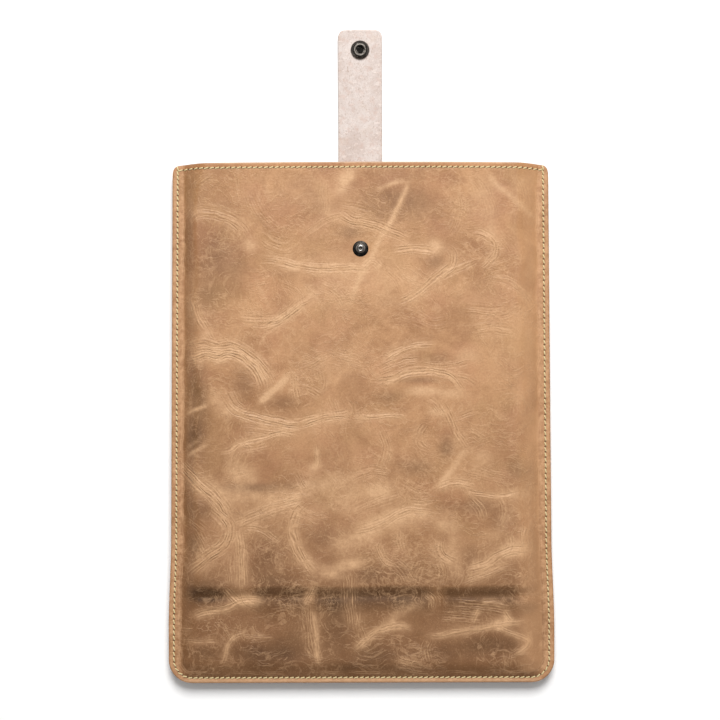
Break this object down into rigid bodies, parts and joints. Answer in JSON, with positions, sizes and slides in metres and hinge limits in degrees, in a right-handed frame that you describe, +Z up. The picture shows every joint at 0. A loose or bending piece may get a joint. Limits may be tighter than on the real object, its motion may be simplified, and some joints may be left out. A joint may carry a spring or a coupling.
{
  "type": "laptop sleeve",
  "caption": "Flat leather laptop sleeve, stitched on three sides and open at one end, with a snap strap that folds over the open end from the back.",
  "frame": {"origin": "centre of the bounding box's bottom face, the sleeve lying on its back with the strap open", "axes": "+Y out of the open end and along the open strap, +Z up out of the front panel, +X to the right seen from the front with the open end at the top"},
  "size_m": [0.281, 0.477, 0.0245],
  "materials": {
    "panel_leather": "waxed pull-up leather with light creases and scuffs",
    "strap_leather": "pale flesh side, tan grain side",
    "thread": "waxed cream thread",
    "snap_metal": "antiqued gunmetal plating, satin",
    "spring_metal": "bright wire"
  },
  "bodies": {
    "sleeve": {"front_panel": "panel_leather", "back_panel": "panel_leather", "seam_thread_front": "thread", "seam_thread_back": "thread", "mouth_thread_front": "thread", "mouth_thread_front_inner": "thread", "mouth_thread_back": "thread", "mouth_thread_back_inner": "thread", "strap_thread_outer": "thread", "strap_thread_inner": "thread", "strap_base": "strap_leather", "snap_stud": "snap_metal", "snap_post": "snap_metal"},
    "riser": {"strap_riser": "strap_leather"},
    "tongue": {"strap_tongue": "strap_leather", "snap_socket": "snap_metal", "snap_spring": "spring_metal", "snap_cap": "snap_metal"}
  },
  "joints": [
    {"name": "riser_fold", "type": "hinge", "parent": "sleeve", "child": "riser", "pos_m": [0, 0.14044, 0.0018], "axis": [1, 0, 0], "range_deg": [0, 88.16]},
    {"name": "tongue_fold", "type": "hinge", "parent": "riser", "child": "tongue", "pos_m": [0, 0.16073, 0.00245], "axis": [1, 0, 0], "range_deg": [0, 86.74]}
  ],
  "couplings": [
    {"joint": "tongue_fold", "follows": "riser_fold", "ratio": 0.98389}
  ]
}
